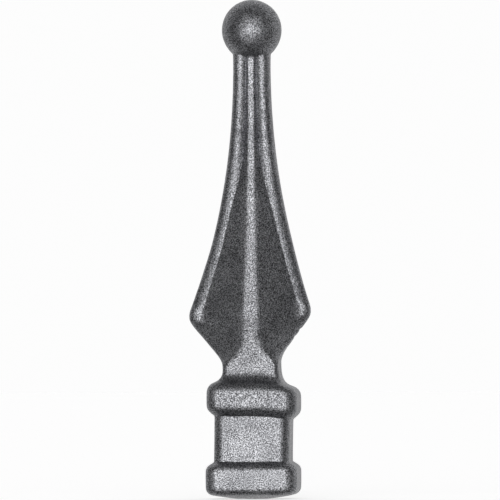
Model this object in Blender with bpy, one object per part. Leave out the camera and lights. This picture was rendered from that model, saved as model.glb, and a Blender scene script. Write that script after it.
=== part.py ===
# Fence spear point: one solid steel forging. From the top down it is a ball, a stem with two
# grooves down its front and its back, a spear blade into which the ribs beside them flare, a
# square neck, and a square base block between two rounded collars. The plain underside is the
# face that is welded to a picket.
# Metres, +Z up, the broad side of the blade along X. The origin is the middle of the underside.

import math

import bmesh
import bpy

# Overall height, and the ball on top
total_height = 0.150
ball_radius = 0.0092

# Square base, from the underside up, measured across its flats
lower_collar_width = 0.0275
lower_collar_height = 0.0112
block_width = 0.0226
block_height = 0.0138
upper_collar_width = 0.0272
upper_collar_height = 0.0109
collar_flank = 0.0015
upper_collar_foot_flank = 0.0020
block_corner_radius = 0.0029
collar_corner_radius = 0.0035

# Underside: a flat middle, a shallow slope out from it to the rim, and the rounding of the rim
foot_width = 0.0102
foot_rim_height = 0.00144
foot_rim_radius = 0.0025
foot_corner_radius = 0.0045

# Edges of the collars, and the hollows beside them
lower_collar_radius = 0.0024
upper_collar_top_radius = 0.0032
upper_collar_foot_radius = 0.0030
block_fillet = 0.0006
neck_fillet = 0.0037

# Square neck between the blade and the upper collar
neck_width = 0.0168
neck_height = 0.0040
neck_corner_radius = 0.0015

# Side edges of the blade: reach from the axis, and the shoulders
stem_side_reach = 0.0056
shoulder_reach = 0.0191
shoulder_above_neck = 0.01465
shoulder_step = 0.0015
shoulder_rounding = 0.0036
lower_edge_gap = 0.0019
lower_edge_rounding = 0.0019
flare_power = 2.12

# The two halves of the die did not meet quite square: how far the side edges sit to the left
shoulder_lean = 0.00085
neck_lean = 0.00033
lean_fade_height = 0.0270

# The upper collar sits to the right and sags on its right side. Below it, both fade away in
# this height.
collar_shift = 0.0002
collar_sag = 0.0012
sag_fade_height = 0.0040

# Midribs, in the middle of the front and of the back
stem_midrib_reach = 0.0049
midrib_reach = 0.0111
midrib_peak_above_shoulder = 0.0031
midrib_rounding = 0.0012

# Side ribs: a flat edge of this half height, rounded off front and back by an oval that is
# this deep from the edge to its top and rises this much
stem_edge_half_height = 0.0025
blade_edge_half_height = 0.0005
stem_side_rib_depth = 0.0023
blade_side_rib_depth = 0.0056
stem_side_rib_rise = 0.0023
blade_side_rib_rise = 0.0022
side_rib_width = 0.0035
knob_depth_share = 0.5

# Midribs: a gently rounded crest that is cut off on both sides by the webs
stem_crest_radius = 0.0036
blade_crest_radius = 0.0130
stem_crest_half_width = 0.00105
blade_crest_half_width = 0.0026
crest_fillet = 0.0003
seam_fillet = 0.0002

# Where the flat web meets the side rib, as an angle round the oval from its top. Far up the
# stem that is well past the top, which leaves a groove. At the shoulder the rib ends in a
# bare knob.
knob_angle = math.radians(-20.0)
groove_angle = math.radians(-50.0)
groove_foot_height = 0.085
groove_full_height = 0.107
knob_above_shoulder = 0.0030
knob_height = 0.0030

# Blade below the shoulders, where the side ribs end and plain slopes run down to the neck
rib_end_below_shoulder = 0.0026
edge_half_thickness = 0.0008
ridge_half_width = 0.0024
arch_gap = 0.0009
arch_height = 0.0084
slope_corner_power = 16.0

# How finely the surface is stepped
rib_shares = (0.0, 0.28, 0.54, 0.74, 0.88, 0.98)
crest_steps = 5
web_shares = (0.0, 0.04, 0.35, 0.64, 0.92)
narrowest_web = math.radians(6.0)
ball_steps = 11
ball_step_angle = math.radians(12.0)
seam_offsets = (0.0007, 0.00025, -0.00015, -0.0007)
stem_spacing = 0.0036
fine_above_shoulder = 0.0060
fine_below_shoulder = 0.0080
shoulder_spacing = 0.0010
neck_spacing = 0.0013
arc_steps = 4

# Places and half widths that follow from the sizes above
block_top = lower_collar_height + block_height
upper_collar_top = block_top + upper_collar_height
neck_top = upper_collar_top + neck_height
shoulder_height = neck_top + shoulder_above_neck
ball_centre = total_height - ball_radius
blade_top = ball_centre - ball_radius
neck_half = neck_width / 2.0
block_half = block_width / 2.0
quarter = math.pi / 2.0


def mix(first, second, share):
    return first + (second - first) * share


def smooth_step(low, high, value):
    share = min(max((value - low) / (high - low), 0.0), 1.0)
    return share * share * (3.0 - 2.0 * share)


def soft_min(first, second, width):
    overlap = max(width - abs(first - second), 0.0) / width
    return min(first, second) - overlap * overlap * width / 4.0


def soft_max(first, second, width):
    return -soft_min(-first, -second, width)


def evenly(start, end, spacing):
    # Values from start towards end, without the end itself.
    count = max(1, round(abs(end - start) / spacing))
    return [mix(start, end, step / count) for step in range(count)]


def flare(height, foot, top_value, foot_value):
    # A value that grows from the ball down to the foot of the flare, slowly at first.
    share = max((blade_top - height) / (blade_top - foot), 0.0)
    return mix(top_value, foot_value, share**flare_power)


def side_reach(height):
    # The edge flares out to the shoulder, then runs straight in to the neck.
    widening = flare(height, shoulder_height, stem_side_reach, shoulder_reach)
    foot = neck_top + lower_edge_gap
    narrowing = mix(neck_half, shoulder_reach, (height - foot) / (shoulder_height - foot))
    narrowing = soft_max(narrowing, neck_half, lower_edge_rounding)
    return soft_min(widening, narrowing, shoulder_rounding)


def midrib_crest(height):
    # The crest stands out least at the ball, and most just above the shoulder.
    peak = shoulder_height + midrib_peak_above_shoulder
    rising = flare(height, peak, stem_midrib_reach, midrib_reach)
    falling = mix(neck_half, midrib_reach, (height - neck_top) / (peak - neck_top))
    return soft_min(rising, max(falling, neck_half), midrib_rounding)


def above_knob(height):
    # 0 at the bare knob in which the side rib ends, and 1 where the web covers half of the rib.
    knob = shoulder_height + knob_above_shoulder
    return smooth_step(knob, knob + knob_height, height)


def web_angle(height, rib_depth):
    # The web never meets the rib further round than the groove does.
    groove = smooth_step(groove_foot_height, groove_full_height, height)
    no_groove = math.asin(max(1.0 - side_rib_width / rib_depth, math.sin(groove_angle)))
    return mix(knob_angle, mix(no_groove, groove_angle, groove), above_knob(height))


def edge_lean(height):
    # Starts on the rounded top of the upper collar, is most at the shoulders, and ends on the
    # blade above them.
    at_neck = smooth_step(upper_collar_top - 2.0 * collar_flank, upper_collar_top, height)
    at_shoulder = smooth_step(neck_top, shoulder_height, height)
    above = smooth_step(shoulder_height, shoulder_height + lean_fade_height, height)
    return mix(neck_lean, shoulder_lean, at_shoulder) * at_neck * (1.0 - above)


def on_upper_collar(height):
    # 1 on the upper collar, and 0 on the neck and further down the block.
    starts = smooth_step(block_top - sag_fade_height, block_top, height)
    ends = smooth_step(upper_collar_top, neck_top, height)
    return starts * (1.0 - ends)


def circle_reach(centre, radius, angle):
    # How far a circle centred on the line of angle zero reaches in this direction.
    across = centre * math.sin(angle)
    if abs(across) >= radius:
        return 0.0
    return centre * math.cos(angle) + math.sqrt(radius * radius - across * across)


def edge_reach(reach, half_height, depth, rise, angle):
    # The same for a flat edge that an oval rounds off.
    if reach * math.tan(angle) <= half_height:
        return reach / math.cos(angle)
    across = math.sin(angle) / rise
    along = math.cos(angle) / depth
    start = ((reach - depth) / depth, half_height / rise)
    scale = across**2 + along**2
    middle = start[0] * along + start[1] * across
    inside = middle**2 - scale * (start[0] ** 2 + start[1] ** 2 - 1.0)
    return (middle + math.sqrt(max(inside, 0.0))) / scale


class Line:
    # A straight run of a section.
    def __init__(self, start, end):
        length = math.dist(start, end)
        self.across = ((start[1] - end[1]) / length, (end[0] - start[0]) / length)
        self.offset = self.across[0] * start[0] + self.across[1] * start[1]
        if self.offset < 0.0:
            self.across = (-self.across[0], -self.across[1])
            self.offset = -self.offset

    def reach(self, angle):
        facing = self.across[0] * math.cos(angle) + self.across[1] * math.sin(angle)
        return self.offset / facing if facing > 0.0 else math.inf


# Each section below is one quarter of the outline at a height, from the side edge at angle
# zero to the midrib at a right angle. first_angle and second_angle say where its forms meet.


class RibbedSection:
    # Above the shoulders: side rib, flat web, midrib.
    def __init__(self, height):
        def rib_size(on_stem, on_blade):
            return flare(height, shoulder_height, on_stem, on_blade)

        self.side = side_reach(height)
        self.edge_height = rib_size(stem_edge_half_height, blade_edge_half_height)
        self.side_rise = rib_size(stem_side_rib_rise, blade_side_rib_rise)
        rib_depth = rib_size(stem_side_rib_depth, blade_side_rib_depth)
        self.side_depth = rib_depth * mix(knob_depth_share, 1.0, above_knob(height))
        self.crest_radius = rib_size(stem_crest_radius, blade_crest_radius)
        self.crest_centre = midrib_crest(height) - self.crest_radius
        half_width = rib_size(stem_crest_half_width, blade_crest_half_width)
        turn = web_angle(height, rib_depth)
        foot = (
            self.side - self.side_depth * (1.0 - math.sin(turn)),
            self.edge_height + self.side_rise * math.cos(turn),
        )
        drop = math.sqrt(self.crest_radius**2 - half_width**2)
        brow = (half_width, self.crest_centre + drop)
        self.web = Line(foot, brow)
        self.brow = Line((brow[0] + drop, brow[1] - half_width), brow)
        self.first_angle = math.atan2(foot[1], foot[0])
        self.second_angle = math.atan2(brow[1], brow[0])

    def reach(self, angle):
        if angle <= self.first_angle:
            return edge_reach(self.side, self.edge_height, self.side_depth, self.side_rise, angle)
        if angle < self.second_angle:
            crest = self.brow.reach(angle)
        else:
            crest = circle_reach(self.crest_centre, self.crest_radius, quarter - angle)
        return soft_min(crest, self.web.reach(angle), crest_fillet)


class SlopedSection:
    # Below the shoulders: one slope from the edge to the ridge. Further down, edge and ridge
    # widen into the four faces of the neck.
    def __init__(self, height):
        self.side = side_reach(height)
        self.middle = midrib_crest(height)
        risen = min(max((height - neck_top - arch_gap) / arch_height, 0.0), 1.0)
        widened = (1.0 - risen) ** 2
        neck_face = neck_half - neck_corner_radius / 2.0
        start = (self.side, mix(edge_half_thickness, neck_face, widened))
        end = (mix(ridge_half_width, neck_face, widened), self.middle)
        self.slope = Line(start, end)
        self.first_angle = math.atan2(start[1], start[0])
        self.second_angle = math.atan2(end[1], end[0])

    def reach(self, angle):
        inverse_reaches = (
            math.cos(angle) / self.side,
            math.sin(angle) / self.middle,
            1.0 / self.slope.reach(angle),
        )
        total = sum(value**slope_corner_power for value in inverse_reaches)
        return total ** (-1.0 / slope_corner_power)


class SquareSection:
    # Neck, block and collars: a square with rounded corners.
    def __init__(self, half_width, corner_radius):
        self.half_width = half_width
        self.corner_radius = corner_radius
        self.corner_centre = half_width - corner_radius
        self.first_angle = math.atan2(self.corner_centre, half_width)
        self.second_angle = quarter - self.first_angle

    def reach(self, angle):
        if angle <= self.first_angle:
            return self.half_width / math.cos(angle)
        if angle >= self.second_angle:
            return self.half_width / math.sin(angle)
        diagonal = self.corner_centre * math.sqrt(2.0)
        return circle_reach(diagonal, self.corner_radius, angle - quarter / 2.0)


class BlendedSection:
    # A section part of the way from one to another.
    def __init__(self, first, second, share):
        self.first = first
        self.second = second
        self.share = share
        self.first_angle = mix(first.first_angle, second.first_angle, share)
        self.second_angle = mix(first.second_angle, second.second_angle, share)

    def reach(self, angle):
        return mix(self.first.reach(angle), self.second.reach(angle), self.share)


class BallSection:
    # The ball, joined to the top of the stem below its middle.
    def __init__(self, height):
        self.stem = RibbedSection(height)
        self.first_angle = self.stem.first_angle
        self.second_angle = self.stem.second_angle
        self.above_middle = height >= ball_centre
        self.ball_reach = math.sqrt(max(ball_radius**2 - (height - ball_centre) ** 2, 0.0))

    def reach(self, angle):
        if self.above_middle:
            return self.ball_reach
        return soft_max(self.ball_reach, self.stem.reach(angle), seam_fillet)


def blade_section(height):
    rib_end = shoulder_height - rib_end_below_shoulder
    ribs_fade = smooth_step(rib_end, shoulder_height, height)
    if ribs_fade == 1.0:
        return RibbedSection(height)
    if ribs_fade > 0.0:
        return BlendedSection(SlopedSection(height), RibbedSection(height), ribs_fade)
    neck = SquareSection(neck_half, neck_corner_radius)
    rise = smooth_step(neck_top, neck_top + neck_corner_radius, height)
    return BlendedSection(neck, SlopedSection(height), rise)


def stepped_height(height, direction):
    # The right shoulder sits higher than the left one. direction runs from -1 at the left
    # edge to 1 at the right one.
    low = smooth_step(neck_top - neck_height / 2.0, neck_top + neck_height / 2.0, height)
    high = smooth_step(shoulder_height, shoulder_height + 2.0 * shoulder_above_neck, height)
    return height - direction * shoulder_step / 2.0 * low * (1.0 - high)


def quarter_angles(first, second):
    # Points always lie where two forms of the section meet.
    second = max(second, first + narrowest_web)
    angles = [first * share for share in rib_shares]
    angles += [mix(first, second, share) for share in web_shares]
    return angles + [mix(second, quarter, step / crest_steps) for step in range(crest_steps)]


def ring(height, section_at):
    # Points once round the part. section_at(height, direction) gives the section to use.
    points = []
    for turn in range(4):
        right = 1 if turn in (0, 3) else -1
        front = 1 if turn < 2 else -1
        first = section_at(height, right).first_angle
        second = section_at(height, 0).second_angle
        angles = quarter_angles(first, second)
        if turn % 2:
            angles = [quarter] + angles[:0:-1]
        for angle in angles:
            reach = section_at(height, right * math.cos(angle)).reach(angle)
            points.append((right * reach * math.cos(angle), front * reach * math.sin(angle), height))
    return points


def leaned(points):
    # Moves both side edges to the left, the upper collar to the right and its right side down.
    widest = max(point[0] for point in points)
    moved = []
    for x, y, z in points:
        share = x / widest
        aside = collar_shift * on_upper_collar(z) - edge_lean(z) * share**2
        sag = collar_sag * on_upper_collar(z) * max(share, 0.0) ** 2
        moved.append((x + aside, y, z - sag))
    return moved


def square_ring(half_width, height, corner_radius):
    section = SquareSection(half_width, corner_radius)
    return leaned(ring(height, lambda level, direction: section))


def ball_rings():
    # From just under the pole of the ball down to the top of the stem.
    heights = [
        ball_centre + ball_radius * math.cos(ball_step_angle * (step + 1))
        for step in range(ball_steps)
    ]
    seam = ball_centre - math.sqrt(ball_radius**2 - stem_side_reach**2)
    heights += [seam + offset for offset in seam_offsets]
    return [ring(height, lambda level, direction: BallSection(level)) for height in heights]


def blade_rings():
    fine_top = shoulder_height + fine_above_shoulder
    fine_bottom = shoulder_height - fine_below_shoulder
    heights = evenly(blade_top, fine_top, stem_spacing)
    heights += evenly(fine_top, fine_bottom, shoulder_spacing)
    heights += evenly(fine_bottom, neck_top, neck_spacing)
    return [
        leaned(ring(height, lambda level, direction: blade_section(stepped_height(level, direction))))
        for height in heights
    ]


def rounded_path(corners):
    # A path of straight runs with its corners made arcs. A corner is (half width, height, radius).
    path = [corners[0][:2]]
    for before, corner, after in zip(corners, corners[1:], corners[2:]):
        here = corner[:2]
        into = [(b - a) / math.dist(before[:2], here) for a, b in zip(before, here)]
        out = [(b - a) / math.dist(here, after[:2]) for a, b in zip(here, after)]
        crossing = into[0] * out[1] - into[1] * out[0]
        turn = math.acos(into[0] * out[0] + into[1] * out[1])
        inward = (-into[1], into[0]) if crossing > 0.0 else (into[1], -into[0])
        run = corner[2] * math.tan(turn / 2.0)
        for step in range(arc_steps + 1):
            angle = turn * step / arc_steps
            along = corner[2] * math.sin(angle) - run
            aside = corner[2] * (1.0 - math.cos(angle))
            path.append(tuple(h + i * along + n * aside for h, i, n in zip(here, into, inward)))
    return path + [corners[-1][:2]]


def base_rings():
    # Neck, upper collar, block and lower collar, then the underside.
    upper_half = upper_collar_width / 2.0
    lower_half = lower_collar_width / 2.0
    foot_half = foot_width / 2.0
    corners = [
        (neck_half, neck_top, 0.0),
        (neck_half, upper_collar_top, neck_fillet),
        (upper_half, upper_collar_top - collar_flank, upper_collar_top_radius),
        (upper_half, block_top + upper_collar_foot_flank, upper_collar_foot_radius),
        (block_half, block_top, block_fillet),
        (block_half, lower_collar_height, block_fillet),
        (lower_half, lower_collar_height - collar_flank, lower_collar_radius),
        (lower_half, foot_rim_height, foot_rim_radius),
        (foot_half, 0.0, 0.0),
    ]
    rings = []
    for half_width, height in rounded_path(corners):
        below_neck = smooth_step(neck_half, block_half, half_width)
        on_collar = smooth_step(block_half, upper_half, half_width)
        corner_radius = mix(neck_corner_radius, block_corner_radius, below_neck)
        corner_radius = mix(corner_radius, collar_corner_radius, on_collar)
        if height < lower_collar_height / 2.0:
            out = (half_width - foot_half) / (lower_half - foot_half)
            corner_radius = mix(foot_corner_radius, collar_corner_radius, out)
        rings.append(square_ring(half_width, height, corner_radius))
    return rings


def make_mesh(name, rings, pole):
    # Skins the rings from the pole down, and closes the last one with a flat face.
    shape = bmesh.new()
    top = shape.verts.new(pole)
    loops = [[shape.verts.new(point) for point in points] for points in rings]
    count = len(loops[0])
    for step in range(count):
        after = (step + 1) % count
        shape.faces.new((top, loops[0][step], loops[0][after]))
        for upper, lower in zip(loops, loops[1:]):
            shape.faces.new((upper[step], lower[step], lower[after], upper[after]))
    shape.faces.new(reversed(loops[-1]))
    bmesh.ops.recalc_face_normals(shape, faces=shape.faces)
    mesh = bpy.data.meshes.new(name)
    shape.to_mesh(mesh)
    shape.free()
    return mesh


def forged_steel():
    material = bpy.data.materials.new("forged_steel")
    material.use_nodes = True
    shader = material.node_tree.nodes["Principled BSDF"]
    shader.inputs["Base Color"].default_value = (0.24, 0.24, 0.25, 1.0)
    shader.inputs["Metallic"].default_value = 0.9
    shader.inputs["Roughness"].default_value = 0.45
    return material


def make_spear_point():
    rings = ball_rings() + blade_rings() + base_rings()
    mesh = make_mesh("spear_point", rings, (0.0, 0.0, total_height))
    mesh.materials.append(forged_steel())
    mesh.shade_smooth()
    mesh.set_sharp_from_angle(angle=math.radians(40.0))
    spear_point = bpy.data.objects.new("spear_point", mesh)
    bpy.context.scene.collection.objects.link(spear_point)


for leftover in list(bpy.data.objects):
    bpy.data.objects.remove(leftover, do_unlink=True)
make_spear_point()
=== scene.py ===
import math

import bmesh
import bpy
import numpy as np
from mathutils import Matrix, Vector, noise


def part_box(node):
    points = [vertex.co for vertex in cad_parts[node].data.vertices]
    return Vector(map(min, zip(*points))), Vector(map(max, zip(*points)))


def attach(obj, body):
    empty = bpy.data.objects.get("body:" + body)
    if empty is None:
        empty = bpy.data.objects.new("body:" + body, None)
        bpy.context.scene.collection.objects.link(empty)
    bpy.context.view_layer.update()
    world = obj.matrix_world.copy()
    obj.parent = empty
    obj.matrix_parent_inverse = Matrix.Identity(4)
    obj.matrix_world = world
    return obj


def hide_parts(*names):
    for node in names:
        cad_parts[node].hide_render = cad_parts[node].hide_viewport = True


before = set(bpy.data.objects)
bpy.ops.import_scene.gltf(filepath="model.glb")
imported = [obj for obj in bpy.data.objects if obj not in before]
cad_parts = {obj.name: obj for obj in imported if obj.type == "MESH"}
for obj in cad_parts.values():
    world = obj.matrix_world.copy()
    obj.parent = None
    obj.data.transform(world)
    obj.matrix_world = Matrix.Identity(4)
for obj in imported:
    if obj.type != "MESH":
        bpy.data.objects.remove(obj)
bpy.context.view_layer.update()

print("frame loaded")


# camera

view = {
    "turn": math.radians(4.0),  # the camera stands a little to the right of the front
    "distance": 4.0,
    "height": 0.07477,
    "aside": -0.00080,  # aims just left of the axis
    "roll": math.radians(-0.24),
    "frameWidth": 0.15025,  # what the picture spans at the axis
    "sensor": 36.0,
}


def towardCamera():
    return Vector((math.sin(view["turn"]), -math.cos(view["turn"]), 0.0))


def makeCamera():
    data = bpy.data.cameras.new("photoCamera")
    data.sensor_width = view["sensor"]
    data.lens = data.sensor_width * view["distance"] / view["frameWidth"]
    camera = bpy.data.objects.new("photoCamera", data)
    bpy.context.scene.collection.objects.link(camera)
    facing = Matrix.Rotation(view["turn"], 4, "Z") @ Matrix.Rotation(math.pi / 2, 4, "X")
    facing = facing @ Matrix.Rotation(view["roll"], 4, "Z")
    right = facing.to_3x3() @ Vector((1.0, 0.0, 0.0))
    place = Vector((0.0, 0.0, view["height"])) + right * view["aside"]
    place += towardCamera() * view["distance"]
    camera.matrix_world = Matrix.Translation(place) @ facing
    bpy.context.scene.camera = camera


# node helpers

def newMaterial(name):
    material = bpy.data.materials.new(name)
    material.use_nodes = True
    nodes = material.node_tree.nodes
    return material, nodes, material.node_tree.links, nodes["Principled BSDF"]


def noiseNode(nodes, links, coords, scale, detail, rough):
    node = nodes.new("ShaderNodeTexNoise")
    node.inputs["Scale"].default_value = scale
    node.inputs["Detail"].default_value = detail
    node.inputs["Roughness"].default_value = rough
    links.new(coords, node.inputs["Vector"])
    return node.outputs["Fac"]


def rampNode(nodes, links, value, stops):
    # a stop is a place and either a colour or one grey value
    node = nodes.new("ShaderNodeValToRGB")
    ramp = node.color_ramp
    while len(ramp.elements) < len(stops):
        ramp.elements.new(0.5)
    for element, (place, shade) in zip(ramp.elements, stops):
        element.position = place
        colour = shade if isinstance(shade, tuple) else (shade, shade, shade)
        element.color = (*colour, 1.0)
    links.new(value, node.inputs["Fac"])
    return node.outputs["Color"]


def bumpNode(nodes, links, height, distance, under=None):
    node = nodes.new("ShaderNodeBump")
    node.inputs["Distance"].default_value = distance
    node.inputs["Strength"].default_value = 1.0
    links.new(height, node.inputs["Height"])
    if under is not None:
        links.new(under, node.inputs["Normal"])
    return node.outputs["Normal"]


def mathNode(nodes, links, operation, value, other=None):
    node = nodes.new("ShaderNodeMath")
    node.operation = operation
    links.new(value, node.inputs[0])
    if other is not None:
        node.inputs[1].default_value = other
    return node.outputs["Value"]


# steel

steel = {
    "grain": (3200.0, 1.0, 0.6),  # blasting grain of about 0.3 mm: scale, detail, roughness
    "grainBump": 0.000062,
    "speck": [(0.30, 0.10), (0.42, 0.50), (0.52, 1.0), (0.68, 2.35)],
    "pits": (1300.0, 2.0, 0.55),
    "pitBump": 0.00003,
    "pitEdges": (0.3, 0.7),  # where a pit is all bottom and all rim
    "roughBottom": 0.50,
    "roughRim": 0.44,
    "clouds": (120.0, 4.0, 0.6),
    "cloudEdges": (0.35, 0.65),
    "dark": (0.205, 0.207, 0.218),
    "light": (0.287, 0.290, 0.303),
}


def forgedSteel():
    material, nodes, links, shader = newMaterial("forgedSteel")
    coords = nodes.new("ShaderNodeTexCoord").outputs["Object"]
    grain = noiseNode(nodes, links, coords, *steel["grain"])
    pits = noiseNode(nodes, links, coords, *steel["pits"])
    clouds = noiseNode(nodes, links, coords, *steel["clouds"])
    # cloudy grey with a lighter and a darker grain in it
    greys = zip(steel["cloudEdges"], (steel["dark"], steel["light"]))
    cloudColour = rampNode(nodes, links, clouds, list(greys))
    speck = rampNode(nodes, links, grain, steel["speck"])
    mix = nodes.new("ShaderNodeMix")
    mix.data_type = "RGBA"
    mix.blend_type = "MULTIPLY"
    mix.inputs["Factor"].default_value = 1.0
    links.new(cloudColour, mix.inputs["A"])
    links.new(speck, mix.inputs["B"])
    links.new(mix.outputs["Result"], shader.inputs["Base Color"])
    roughness = zip(steel["pitEdges"], (steel["roughBottom"], steel["roughRim"]))
    rough = rampNode(nodes, links, pits, list(roughness))
    links.new(rough, shader.inputs["Roughness"])
    relief = bumpNode(nodes, links, pits, steel["pitBump"])
    relief = bumpNode(nodes, links, grain, steel["grainBump"], relief)
    links.new(relief, shader.inputs["Normal"])
    shader.inputs["Metallic"].default_value = 1.0
    return material


# the forging

skin = {
    "mergeDistance": 0.000001,
    "rounding": 2,  # how often each face is split and smoothed
    "swellSize": 0.0045,  # slow unevenness left by the dies
    "swellDepth": 0.000022,
    "scaleSize": 0.0013,  # scale marks, finer and shallower
    "scaleDepth": 0.0000065,
    "frontLimit": 0.002,  # the small marks stay in front of this
}
# small marks on the front: x, height, radius, depth
marks = [
    (0.0048, 0.1058, 0.00035, 0.00018),
    (0.0050, 0.1044, 0.00035, 0.00016),
    (-0.0018, 0.1302, 0.00045, 0.00018),
    (0.0144, 0.0507, 0.00050, 0.00025),
    (0.0128, 0.0486, 0.00045, 0.00022),
    (0.0104, 0.0450, 0.00050, 0.00022),
    (0.0098, 0.0435, 0.00035, 0.00016),
]


def smoothed(source, name):
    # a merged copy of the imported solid, back in four-sided faces, split fine and rounded
    mesh = source.data.copy()
    shape = bmesh.new()
    shape.from_mesh(mesh)
    bmesh.ops.remove_doubles(shape, verts=shape.verts, dist=skin["mergeDistance"])
    bmesh.ops.join_triangles(
        shape, faces=shape.faces, topology_influence=1.0,
        angle_face_threshold=math.pi, angle_shape_threshold=math.pi,
    )
    shape.to_mesh(mesh)
    fourSided = sum(len(face.verts) == 4 for face in shape.faces)
    print("four-sided:", fourSided, "of", len(shape.faces))
    shape.free()
    rough = bpy.data.objects.new(name + "Rough", mesh)
    bpy.context.scene.collection.objects.link(rough)
    rounding = rough.modifiers.new("rounding", "SUBSURF")
    rounding.levels = rounding.render_levels = skin["rounding"]
    graph = bpy.context.evaluated_depsgraph_get()
    fine = bpy.data.meshes.new_from_object(rough.evaluated_get(graph))
    bpy.data.objects.remove(rough)
    fine.name = name
    return fine


def readPoints(mesh, kind):
    values = np.zeros(len(mesh.vertices) * 3)
    if kind == "normals":
        mesh.vertex_normals.foreach_get("vector", values)
    else:
        mesh.vertices.foreach_get("co", values)
    return values.reshape(-1, 3)


def reliefDepth(place):
    swell = noise.noise(place / skin["swellSize"]) * skin["swellDepth"]
    scale = noise.noise(place / skin["scaleSize"]) * skin["scaleDepth"]
    return swell + scale


def carve(mesh, low, high):
    places = readPoints(mesh, "places")
    normals = readPoints(mesh, "normals")
    depth = np.array([reliefDepth(Vector(place)) for place in places])
    for x, height, radius, deep in marks:
        away = np.hypot(places[:, 0] - x, places[:, 2] - height) / radius
        front = places[:, 1] < skin["frontLimit"]
        depth -= np.where(front, deep * np.exp(-away * away), 0.0)
    places += normals * depth[:, None]
    places = np.clip(places, np.array(low), np.array(high))  # never past the solid's box
    mesh.vertices.foreach_set("co", places.ravel())
    mesh.update()


def makeSpearPoint():
    low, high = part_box("spear_point")
    mesh = smoothed(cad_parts["spear_point"], "forgedSpearPoint")
    carve(mesh, low, high)
    mesh.materials.clear()
    mesh.materials.append(forgedSteel())
    mesh.shade_smooth()
    piece = bpy.data.objects.new("forgedSpearPoint", mesh)
    bpy.context.scene.collection.objects.link(piece)
    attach(piece, "root")
    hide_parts("spear_point")
    print("spear point:", len(mesh.polygons), "faces")


# floor

paper = {
    "size": 6.0,
    "colour": (0.86, 0.86, 0.86, 1.0),
    "roughness": 0.9,
    "glow": 0.58,  # lifts the floor to the white of the paper behind the piece
    "behind": 0.98,  # what shows behind the piece
}


def paleFloor():
    material, nodes, links, shader = newMaterial("paleFloor")
    shader.inputs["Base Color"].default_value = paper["colour"]
    shader.inputs["Roughness"].default_value = paper["roughness"]
    shader.inputs["Specular IOR Level"].default_value = 0.0
    shader.inputs["Emission Color"].default_value = (1.0, 1.0, 1.0, 1.0)
    shader.inputs["Emission Strength"].default_value = paper["glow"]
    return material


def makeFloor():
    shape = bmesh.new()
    bmesh.ops.create_grid(shape, x_segments=1, y_segments=1, size=paper["size"] / 2)
    mesh = bpy.data.meshes.new("floor")
    shape.to_mesh(mesh)
    shape.free()
    mesh.materials.append(paleFloor())
    floor = bpy.data.objects.new("floor", mesh)
    bpy.context.scene.collection.objects.link(floor)
    floor.visible_glossy = False
    print("floor laid")


# light

lamp = {
    "left": 6.0,  # degrees from the camera to the middle of the lamp
    "up": 1.0,
    # brightness round the middle of the lamp, by degrees away from it
    "rings": [
        (0, 6.9), (10, 4.1), (20, 2.10), (30, 0.97), (40, 0.62), (52, 0.29), (66, 0.02),
        (80, 0.16), (95, 0.30), (112, 0.64), (130, 0.76), (155, 0.84), (180, 0.90),
    ],
}


def lampDirection():
    toward = towardCamera()
    right = Vector((-toward.y, toward.x, 0.0))
    aside = right * -math.tan(math.radians(lamp["left"]))
    above = Vector((0.0, 0.0, math.tan(math.radians(lamp["up"]))))
    return (toward + aside + above).normalized()


def makeWorld():
    # a soft lamp by the camera, a dark room round it and white paper behind the piece
    world = bpy.data.worlds.new("studioRoom")
    world.use_nodes = True
    nodes, links = world.node_tree.nodes, world.node_tree.links
    room = nodes["Background"]
    facing = nodes.new("ShaderNodeVectorMath")
    facing.operation = "DOT_PRODUCT"
    facing.inputs[1].default_value = lampDirection()
    links.new(nodes.new("ShaderNodeTexCoord").outputs["Generated"], facing.inputs[0])
    turned = mathNode(nodes, links, "ARCCOSINE", facing.outputs["Value"])
    turned = mathNode(nodes, links, "DIVIDE", turned, math.pi)
    brightest = max(shade for angle, shade in lamp["rings"])
    stops = [(angle / 180.0, shade / brightest) for angle, shade in lamp["rings"]]
    links.new(rampNode(nodes, links, turned, stops), room.inputs["Color"])
    room.inputs["Strength"].default_value = brightest
    behind = nodes.new("ShaderNodeBackground")
    behind.inputs["Color"].default_value = (paper["behind"],) * 3 + (1.0,)
    both = nodes.new("ShaderNodeMixShader")
    links.new(nodes.new("ShaderNodeLightPath").outputs["Is Camera Ray"], both.inputs["Fac"])
    links.new(room.outputs["Background"], both.inputs[1])
    links.new(behind.outputs["Background"], both.inputs[2])
    links.new(both.outputs["Shader"], nodes["World Output"].inputs["Surface"])
    bpy.context.scene.world = world
    print("room lit")


makeCamera()
makeSpearPoint()
makeFloor()
makeWorld()
bpy.context.scene.view_settings.view_transform = "Standard"
print("studio set")
